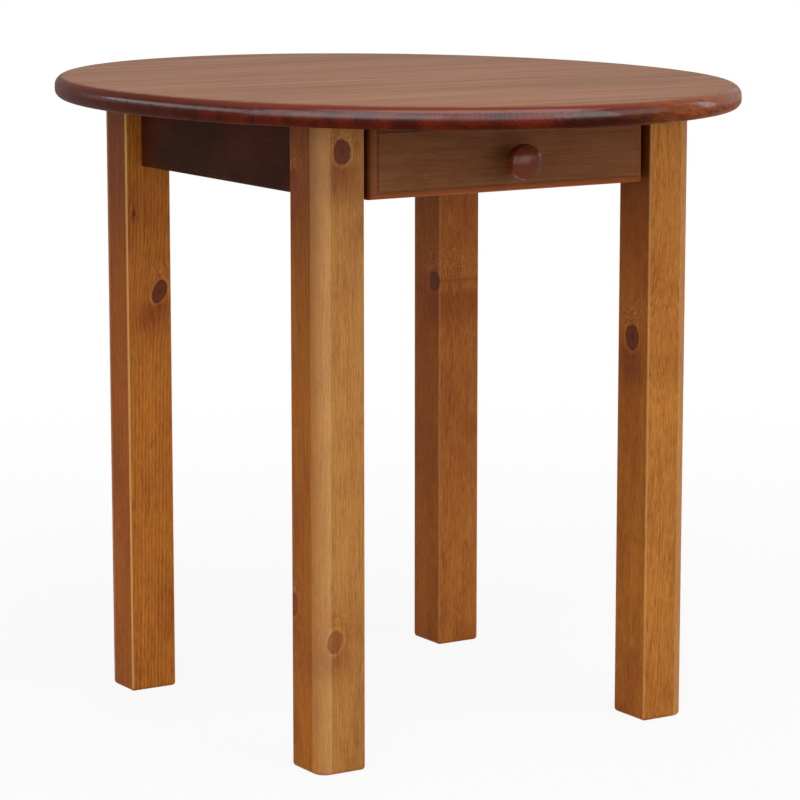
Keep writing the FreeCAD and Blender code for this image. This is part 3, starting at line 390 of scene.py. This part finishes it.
sanded_pale = (226, 196, 148)
sanded_deep = (186, 138, 86)


def bare_wood(name, along, heart, ring, seed, figure=0.34):
    """Unfinished wood with its grain along the piece."""
    wood = Finish(name)
    grain = grow(wood, along, heart, lean=(0.01, 0.006), ring=ring, seed=seed)
    blotch = wood.patches((14, 14, 14), seed)
    tone = grain.late * figure + grain.fibre * 0.7 + blotch * 0.5 + 0.36
    wood.stain(wood.rise(tone, -0.1, 1.1), sanded_pale, sanded_deep)
    wood.polish(0.66 + grain.fibre * 0.2, shine=0.3,
                relief=grain.fibre * 0.7 + grain.late * 0.1, depth=0.0003)
    return wood


block_wood = bare_wood("bare_pine_blocks", "z", heart=(0.0, 0.02), ring=0.0034, seed=11.0)
for corner in ("front_left", "front_right", "rear_left", "rear_right"):
    block_wood.wear(f"corner_block_{corner}")
batten_wood = bare_wood("bare_pine_battens", "y", heart=(0.02, 0.6), ring=0.0034, seed=12.0)
for side in ("left", "right"):
    batten_wood.wear(f"drawer_runner_{side}")
    batten_wood.wear(f"drawer_kicker_{side}")
bare_wood("bare_pine_stop", "x", heart=(-0.16, 0.69), ring=0.003, seed=13.0).wear("drawer_stop")

# ------------------------------------------------------------------ screws
# Zinc-plated countersunk wood screws with a cross recess, all put in from inside, and a pan-headed screw
# through the drawer front into the knob.

# An outline is a row of heights below the face of the head, each with its radius.
plate_pale = (196, 197, 192)
plate_grey = (160, 162, 160)
head_height = 0.0025
shank_radius = 0.0016
core_radius = 0.0014
crest_radius = 0.002
screw_pitch = 0.0019
screw_point = 0.005
screw_tip_radius = 0.0001
knob_screw_thread_start = 0.014
knob_screw_bevel = 0.002
knob_screw_tip_radius = 0.0008
countersunk_head = [(0.0, 0.0038), (0.0003, 0.0037), (head_height, shank_radius)]
pan_head = [(0.0, 0.0024), (0.0007, 0.0032), (0.0015, 0.0039), (0.0025, 0.0039), (0.0026, 0.0018)]


def zinc_plate():
    """Zinc plate: pale, slightly cloudy and finely scratched."""
    metal = Finish("zinc_plate")
    patch = metal.patches((300, 300, 300))
    scratch = metal.patches((2600, 2600, 340), detail=2.0)
    metal.stain(metal.rise(patch + scratch * 0.4, -0.4, 0.4), plate_pale, plate_grey)
    metal.polish(0.34 + patch * 0.2, shine=0.5, relief=patch + scratch, depth=0.0001)
    metal.shader.inputs["Metallic"].default_value = 1.0
    return metal


def connected(shape):
    """The corners of each loose solid in a mesh."""
    seen = set()
    for first in shape.verts:
        if first in seen:
            continue
        group = [first]
        seen.add(first)
        for vert in group:
            for edge in vert.link_edges:
                other = edge.other_vert(vert)
                if other not in seen:
                    seen.add(other)
                    group.append(other)
        yield np.array([vert.co for vert in group])


def solids(node, slim=True):
    """Each copy in a node: its place, which is its start, its axis and a corner beside that, and its length.

    The axis of a slim copy is its longest direction, and that of a flat one its shortest. It starts at the
    wider end, such as the head of a screw.
    """
    end_zone = 0.003
    shape = bmesh.new()
    shape.from_mesh(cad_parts[node].data)
    bmesh.ops.remove_doubles(shape, verts=shape.verts, dist=1e-5)
    for points in connected(shape):
        middle = (points.min(0) + points.max(0)) / 2
        ways = np.linalg.eigh(np.cov((points - points.mean(0)).T))[1]
        axis = ways[:, 2 if slim else 0]
        along = (points - middle) @ axis
        beside = (points - middle) - np.outer(along, axis)
        wide = np.linalg.norm(beside, axis=1)
        if wide[along < along.min() + end_zone].max() < wide[along > along.max() - end_zone].max():
            axis = -axis
            along = -along
        yield (middle + axis * along.min(), axis, beside[wide.argmax()]), along.max() - along.min()
    shape.free()


def spin(shape, place, rows, sides=24, hollow=False):
    """Adds one turned solid. Each row is a height and a radius, plain or changing with the angle.

    A hollow one is closed from its last row to its first, and any other by a flat face at each end.
    """
    start, axis, beside = place
    beside = beside / np.linalg.norm(beside)
    square = np.cross(axis, beside)
    rings = []
    for height, radius in rows:
        ring = []
        for step in range(sides):
            turn = math.tau * step / sides
            wide = radius(turn) if callable(radius) else radius
            tall = height(turn) if callable(height) else height
            way = beside * math.cos(turn) + square * math.sin(turn)
            ring.append(shape.verts.new(start + axis * tall + way * wide))
        rings.append(ring)
    pairs = list(zip(rings, rings[1:]))
    if hollow:
        pairs.append((rings[-1], rings[0]))
    else:
        shape.faces.new(rings[0])
        shape.faces.new(rings[-1])
    for near, far in pairs:
        for step in range(sides):
            after = (step + 1) % sides
            shape.faces.new((near[step], near[after], far[after], far[step]))


def thread(start, stop, core, crest, pitch):
    """The rows of a sharp helical thread."""
    rows_to_a_turn = 4
    steepness = 3
    count = round((stop - start) / pitch * rows_to_a_turn)
    rows = []
    for row in range(count + 1):
        height = start + (stop - start) * row / count

        def radius(turn, height=height):
            phase = (height / pitch - turn / math.tau) % 1
            return core + (crest - core) * max(0.0, 1 - abs(phase - 0.5) * steepness)

        rows.append((height, radius))
    return rows


def cross(size):
    """The outline of a cross recess."""
    arm_width = size * 0.24

    def radius(turn):
        arm = (turn + math.pi / 4) % (math.pi / 2) - math.pi / 4
        side = abs(math.sin(arm))
        reach = size / math.cos(arm)
        return min(reach, arm_width / side) if side > 0.001 else reach

    return radius


def stand_for(shape, node, name, body, finish):
    """Makes the piece that is shown instead of a node of the frame."""
    bmesh.ops.recalc_face_normals(shape, faces=shape.faces)
    mesh = bpy.data.meshes.new(name)
    shape.to_mesh(mesh)
    shape.free()
    mesh.materials.append(finish.material)
    piece = bpy.data.objects.new(name, mesh)
    bpy.context.collection.objects.link(piece)
    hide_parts(node)
    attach(piece, body)


zinc = zinc_plate()
recess = [(0.0016, 0.0003), (0.0014, cross(0.0014)), (0.0, cross(0.0021))]
for node, body in (("corner_block_screws", "frame"), ("top_screws", "frame"), ("kicker_screws", "frame"),
                   ("drawer_stop_screws", "frame"), ("drawer_front_screws", "drawer")):
    shape = bmesh.new()
    for place, length in solids(node):
        start = head_height + 0.001
        threaded = thread(start, length - screw_point, core_radius, crest_radius, screw_pitch)
        spin(shape, place, recess + countersunk_head + threaded + [(length, screw_tip_radius)])
    stand_for(shape, node, f"threaded_{node}", body, zinc)

shape = bmesh.new()
for place, length in solids("knob_screw"):
    stop = length - knob_screw_bevel
    threaded = thread(knob_screw_thread_start, stop, core_radius, crest_radius, screw_pitch)
    spin(shape, place, recess + pan_head + threaded + [(length, knob_screw_tip_radius)])
stand_for(shape, "knob_screw", "threaded_knob_screw", "drawer", zinc)

# ------------------------------------------------------------------ leg bolts, washers and nuts
# A hanger bolt is screwed into each leg with its coarse wood thread. Its fine machine thread goes through
# the corner block and carries a washer and a chamfered hexagon nut, all zinc-plated steel.

bolt_radius = 0.004
bolt_plain_radius = 0.0036
bolt_end_radius = 0.0031
bolt_chamfer = 0.0008
bolt_point = 0.005
bolt_tip_radius = 0.001
thread_gap = 0.0005
machine_core = 0.0034
machine_pitch = 0.00125
machine_start = 0.0012
machine_end = 0.024
plain_end = 0.036
wood_core = 0.0028
wood_pitch = 0.0032
nut_half_flats = 0.0065
nut_bore = 0.0041
nut_chamfer_start = 0.0061
nut_chamfer_slope = math.tan(math.radians(30))
nut_lines = 48

shape = bmesh.new()
for (start, axis, beside), length in solids("leg_hanger_bolts"):
    if np.dot(start[:2], axis[:2]) < 0:
        start = start + axis * length
        axis = -axis
    rows = [(0.0, bolt_end_radius), (bolt_chamfer, bolt_plain_radius)]
    rows += thread(machine_start, machine_end, machine_core, bolt_radius, machine_pitch)
    rows += [(machine_end + thread_gap, bolt_plain_radius), (plain_end, bolt_plain_radius)]
    rows += thread(plain_end + thread_gap, length - bolt_point, wood_core, bolt_radius, wood_pitch)
    spin(shape, (start, axis, beside), rows + [(length, bolt_tip_radius)])
stand_for(shape, "leg_hanger_bolts", "threaded_leg_hanger_bolts", "frame", zinc)


def hexagon(turn):
    """How far the side of the nut is from its axis at this angle."""
    return nut_half_flats / math.cos(turn % (math.pi / 3) - math.pi / 6)


def cut_down(turn):
    """How far the chamfer comes down the nut at this angle."""
    return (hexagon(turn) - nut_chamfer_start) * nut_chamfer_slope


shape = bmesh.new()
for place, length in solids("leg_bolt_nuts", slim=False):
    rows = [(0.0, nut_bore), (0.0, nut_chamfer_start), (cut_down, hexagon)]
    rows += [(lambda turn, length=length: length - cut_down(turn), hexagon)]
    rows += [(length, nut_chamfer_start), (length, nut_bore)]
    spin(shape, place, rows, sides=nut_lines, hollow=True)
stand_for(shape, "leg_bolt_nuts", "chamfered_leg_bolt_nuts", "frame", zinc)
zinc.wear("leg_bolt_washers")

# ------------------------------------------------------------------ dowels
# Fluted beech pegs with chamfered ends, glued into the legs, aprons and runners.
# A flute is cut along every third of the lines that make up a peg.

dowel_radius = 0.00398
dowel_flute_radius = 0.0037
dowel_end_radius = 0.0032
dowel_chamfer = 0.0008
dowel_lines = 48
beech = bare_wood("beech_dowels", "z", heart=(0.0, 0.0), ring=0.0012, seed=14.0)


def fluted(turn):
    """How far the side of a peg is from its axis at this angle."""
    return dowel_flute_radius if round(turn / math.tau * dowel_lines) % 3 == 0 else dowel_radius


for node in ("apron_dowels", "runner_dowels"):
    shape = bmesh.new()
    for place, length in solids(node):
        rows = [(0.0, dowel_end_radius), (dowel_chamfer, fluted)]
        rows += [(length - dowel_chamfer, fluted), (length, dowel_end_radius)]
        spin(shape, place, rows, sides=dowel_lines)
    stand_for(shape, node, f"fluted_{node}", "frame", beech)

# ------------------------------------------------------------------ drawer box
# Four bare pine boards dovetailed through at the corners and glued.
# A thin plywood bottom lies in a groove all round.

for node, along, heart, seed in (("drawer_box_front", "x", (-0.2, 0.6), 27.2),
                                 ("drawer_box_back", "x", (0.1, 0.61), 25.5),
                                 ("drawer_side_left", "y", (-0.16, 0.61), 27.2),
                                 ("drawer_side_right", "y", (0.16, 0.6), 28.9)):
    bare_wood(f"bare_pine_{node}", along, heart, ring=0.0036, seed=seed).wear(node)
bare_wood("birch_plywood", "x", heart=(0.1, 0.58), ring=0.017, seed=21.0, figure=0.22).wear("drawer_bottom")

# ------------------------------------------------------------------ drawer front
# One pine board, stained walnut, with a quarter-round moulding and a small step round its flat face. Its
# grain runs along the drawer, and screws from inside the box hold it.

front_pale = (143, 92, 58)
front_deep = (90, 52, 28)
moulding_red_and_floor_bounce = (134, 66, 30)
step_darkening = (52, 28, 16)
floor_bounce_on_foot = (176, 82, 36)
front_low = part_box("drawer_front")[0]
front_face = front_low[1]
front_foot = front_low[2]

front_wood = Finish("walnut_stain_drawer_front")
grain = grow(front_wood, "x", heart=(-0.24, 0.58), lean=(0.01, 0.05), ring=0.0023, seed=31.0, waver=0.024)
streak = front_wood.patches((4, 90, 120))
blotch = front_wood.patches((9, 9, 26))
tone = grain.late * 0.2 + grain.fibre * 0.8 + streak * 0.5 + blotch * 0.8 + 0.4
front_wood.stain(front_wood.rise(tone, -0.15, 1.15), front_pale, front_deep)

# The step is painted darker. The moulding behind it is painted redder, partly as its stain and partly as
# painted bounce light from the floor, and its bottom edge gets more painted bounce light.
behind_face = front_wood.y - front_face
above_foot = front_wood.z - front_foot
step_line = front_wood.rise(behind_face, 0.0003, 0.0006) * front_wood.rise(behind_face, 0.0014, 0.0011)
# Painted bounce light from the floor, with a redder stain, on the moulding.
front_wood.paint(front_wood.rise(behind_face, 0.0006, 0.0011) * 0.35, moulding_red_and_floor_bounce)
front_wood.paint(step_line * 0.35, step_darkening)
# Painted bounce light from the floor on the bottom edge.
front_wood.paint(front_wood.rise(above_foot, 0.006, 0.001) * 0.6, floor_bounce_on_foot)
front_wood.polish(0.42 + grain.fibre * 0.12, shine=0.02,
                  relief=grain.fibre * 0.5 + grain.late * 0.3, depth=0.0002)
front_wood.wear("drawer_front")

# ------------------------------------------------------------------ knob
# A turned mushroom knob, stained red-brown and varnished a little glossier than the front.
# One screw from inside the drawer holds it.

knob_pale = (126, 60, 34)
knob_deep = (80, 34, 18)

knob_wood = Finish("red_brown_stain_knob")
grain = grow(knob_wood, "y", heart=(0.03, 0.65), lean=(0.0, 0.0), ring=0.0028, seed=41.0)
tone = grain.late * 0.15 + grain.fibre * 0.4 + 0.42
knob_wood.stain(knob_wood.rise(tone, -0.1, 1.1), knob_pale, knob_deep)
knob_wood.polish(0.24 + grain.fibre * 0.1, shine=0.06, relief=grain.fibre, depth=0.0002)
knob_wood.shader.inputs["Coat Weight"].default_value = 0.1
knob_wood.shader.inputs["Coat Roughness"].default_value = 0.12
knob_wood.wear("drawer_knob")

# ------------------------------------------------------------------ top
# A glued-up panel of pine boards that run across the table, cut to an oval and rounded over at the edge. It
# has a brown stain under a satin varnish, redder and glossier on the rounded edge. The flat face's colours
# also hold the varnish's sheen, painted in as a paler, greyer tone. Screws up through the corner blocks hold
# it.

# Painted sheen: the flat face's colours are paler and greyer than the edge's.
face_pale_with_sheen = (159, 110, 78)
face_deep_with_sheen = (111, 66, 38)
face_darker_right = (236, 234, 230)
edge_pale = (100, 30, 8)
edge_deep = (46, 13, 4)
edge_upper = (116, 36, 6)
edge_worn_dark = (90, 40, 18)
edge_worn_pale = (156, 80, 24)
edge_far_shade = (58, 26, 12)
board_width = 0.098
first_joint = -0.041
top_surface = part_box("table_top")[1][2]

top_wood = Finish("mahogany_stain_top")
x, y, z = top_wood.x, top_wood.y, top_wood.z
down = top_surface - z
grain = grow(top_wood, "x", heart=(0.0, 0.66), lean=(0.03, 0.016), ring=0.0026, seed=51.0, waver=0.018)

# Each board has its own tone and streaks, drawn from its place in the row.
board = top_wood.math("FLOOR", (y - first_joint) / board_width)
chance = top_wood.math("FRACT", top_wood.math("SINE", board * 12.9) * 43.7)
streak = top_wood.cloud(x * 2.6 + chance * 9, y * 60, z * 60, detail=4.0)
blotch = top_wood.patches((3, 9, 9))
tone = grain.late * 0.2 + grain.fibre * 0.5 + streak * 1.5 + blotch * 0.6 + chance * 0.12 + 0.34

# The rounded edge: worn to veins at the front right; painted shade and dullness at the far left but for a
# thin glint.
flat = top_wood.rise(down, 0.0014, 0.0003)
worn = top_wood.rise(x, -0.02, 0.12) * top_wood.rise(y, 0.1, -0.25)
veins = top_wood.patches((60, 110, 260))
vein = top_wood.rise(veins, -0.2, 0.2) * top_wood.rise(x, 0.31, 0.2)
far = top_wood.rise(y, -0.3, -0.05) * top_wood.rise(x, 0.0, -0.3)
top_wood.stain(top_wood.rise(tone, 0.15, 0.85), edge_pale, edge_deep)
top_wood.paint(top_wood.rise(down, 0.008, 0.002), edge_upper)
top_wood.paint(worn * 0.8, top_wood.blend(vein, edge_worn_dark, edge_worn_pale))
# Painted shade on the far left of the rounded edge.
top_wood.paint(far * 0.55, edge_far_shade)

face = top_wood.blend(top_wood.rise(tone, -0.2, 1.2), face_pale_with_sheen, face_deep_with_sheen)
# The face is made a little darker towards the right.
rightward = top_wood.rise(x, -0.1, 0.35)
top_wood.paint(flat, top_wood.blend(rightward * 0.5, face, face_darker_right, "MULTIPLY"))
top_wood.polish(0.5 + grain.fibre * 0.1, shine=0.03,
                relief=grain.fibre * 0.5 + grain.late * 0.3, depth=0.0002)

glint = top_wood.rise(down, 0.0125, 0.011) * top_wood.rise(down, 0.0065, 0.0085)
glint = glint * top_wood.rise(y, 0.1, 0.0) * far
dulled = worn * top_wood.rise(veins, -0.15, 0.12) * 0.8
shine = top_wood.rise(down, 0.015, 0.0115) * (1 - far * 0.95) * (1 - dulled)
top_wood.plug((1 - flat) * (shine + glint * 0.9) * 0.34, top_wood.shader.inputs["Coat Weight"])
top_wood.shader.inputs["Coat Roughness"].default_value = 0.1
top_wood.wear("table_top")

# ------------------------------------------------------------------ studio
# A pale floor under an even white room, with four large soft lamps: right, left, overhead and behind.
# The floor fades to plain white away from the table.

floor_reach = 30.0
floor_grey = 0.8
fade_start = 0.5
fade_end = 2.4
glow_by_table = 0.91
glow_far_off = 1.0
room_light = 0.22
room_seen = 1.0
card_power_per_area = 4.9 * math.pi
card_tint = (0.92, 0.95, 1.0)
table_middle = (0, 0, 0.6)


def seen_directly(tree):
    """1 for rays that reach the eye from this surface directly, by reflection or through glass."""
    rays = tree.nodes.new("ShaderNodeLightPath")
    seen = rays.outputs["Is Camera Ray"]
    for kind in ("Is Glossy Ray", "Is Transmission Ray"):
        either = tree.nodes.new("ShaderNodeMath")
        either.operation = "MAXIMUM"
        tree.links.new(seen, either.inputs[0])
        tree.links.new(rays.outputs[kind], either.inputs[1])
        seen = either.outputs[0]
    return seen


def lamp(name, place, aim, width, height, power):
    """A lamp behind a large sheet of cloth, turned to a point of the table."""
    light = bpy.data.lights.new(name, "AREA")
    light.shape = "RECTANGLE"
    light.size = width
    light.size_y = height
    light.energy = power
    head = bpy.data.objects.new(name, light)
    head.location = place
    way = [a - b for a, b in zip(place, aim)]
    level = math.hypot(way[0], way[1])
    head.rotation_euler = (math.atan2(level, way[2]), 0, math.atan2(way[0], -way[1]))
    head.visible_camera = False
    bpy.context.collection.objects.link(head)
    return head


corners = [(-1, -1), (1, -1), (1, 1), (-1, 1)]
floor_mesh = bpy.data.meshes.new("studio_floor")
floor_mesh.from_pydata([(x * floor_reach, y * floor_reach, 0) for x, y in corners], [], [(0, 1, 2, 3)])
floor = bpy.data.objects.new("studio_floor", floor_mesh)
bpy.context.collection.objects.link(floor)

paper = Finish("white_paper")
paper.shader.inputs["Base Color"].default_value = (floor_grey, floor_grey, floor_grey, 1)
paper.shader.inputs["Roughness"].default_value = 0.9
paper.shader.inputs["Specular IOR Level"].default_value = 0.0
away = paper.math("SQRT", paper.x * paper.x + paper.y * paper.y)
fade = paper.rise(away, fade_start, fade_end, glow_by_table, glow_far_off)
glow = paper.tree.nodes.new("ShaderNodeEmission")
lit = paper.tree.nodes.new("ShaderNodeMixShader")
paper.plug(fade * Term(paper, seen_directly(paper.tree)), lit.inputs[0])
paper.plug(paper.shader.outputs[0], lit.inputs[1])
paper.plug(glow.outputs[0], lit.inputs[2])
paper.plug(lit.outputs[0], paper.tree.nodes["Material Output"].inputs["Surface"])
floor_mesh.materials.append(paper.material)

room = bpy.data.worlds.new("studio_room")
room.use_nodes = True
tree = room.node_tree
air = tree.nodes["Background"]
air.inputs["Color"].default_value = (1, 1, 1, 1)
strength = tree.nodes.new("ShaderNodeMapRange")
strength.inputs["To Min"].default_value = room_light
strength.inputs["To Max"].default_value = room_seen
tree.links.new(seen_directly(tree), strength.inputs["Value"])
tree.links.new(strength.outputs["Result"], air.inputs["Strength"])
bpy.context.scene.world = room

lamp("right_soft_lamp", (2.2, -3.9, 1.9), table_middle, width=4.6, height=2.4, power=82)
lamp("left_soft_lamp", (-4.0, -2.2, 1.8), table_middle, width=4.0, height=2.2, power=68)
lamp("overhead_soft_lamp", (-0.3, -1.5, 3.3), table_middle, width=3.0, height=2.0, power=50)
rear = lamp("rear_soft_lamp", (1.6, 4.2, 1.9), (0, 0, 0.5), width=4.6, height=2.4, power=62)
rear.visible_glossy = False

# Lit cards that only show in the varnish: two walls in front of the table, one slanting over it, a narrow one
# to the right and a wide low one behind to the left. Each is turned to a height over the table's middle.
for name, place, width, height, aim in (("left_card", (-4.75, -1.95, 2.7), 6.0, 5.0, 2.7),
                                        ("front_card", (-0.2, -5.2, 2.7), 7.4, 5.0, 2.7),
                                        ("high_card", (-0.8, -2.0, 4.6), 7.0, 3.0, 0.7),
                                        ("right_card", (4.9, -0.35, 2.1), 1.0, 2.4, 2.1),
                                        ("low_card", (-4.1, 2.9, 2.2), 5.0, 1.3, 2.2)):
    card = lamp(name, place, (0, 0, aim), width, height, power=card_power_per_area * width * height)
    card.data.color = card_tint
    card.visible_diffuse = False

# ------------------------------------------------------------------ camera
# It stands in front of the table and to its left, a little above the top, with a long lens.
# It looks slightly down, and a touch past the table's middle.

camera_distance = 3.9234
camera_height = 1.0341
camera_left = 32.097
look_past = 0.148
look_down = 9.669
camera_lens = 150.2
farthest_seen = 100

camera = bpy.data.objects.new("camera", bpy.data.cameras.new("camera"))
bpy.context.collection.objects.link(camera)
turn = math.radians(camera_left)
camera.location = (-camera_distance * math.sin(turn), -camera_distance * math.cos(turn), camera_height)
camera.rotation_euler = (math.radians(90 - look_down), 0, -math.radians(camera_left + look_past))
camera.data.lens = camera_lens
camera.data.clip_end = farthest_seen
bpy.context.scene.camera = camera
bpy.context.scene.view_settings.view_transform = "Standard"
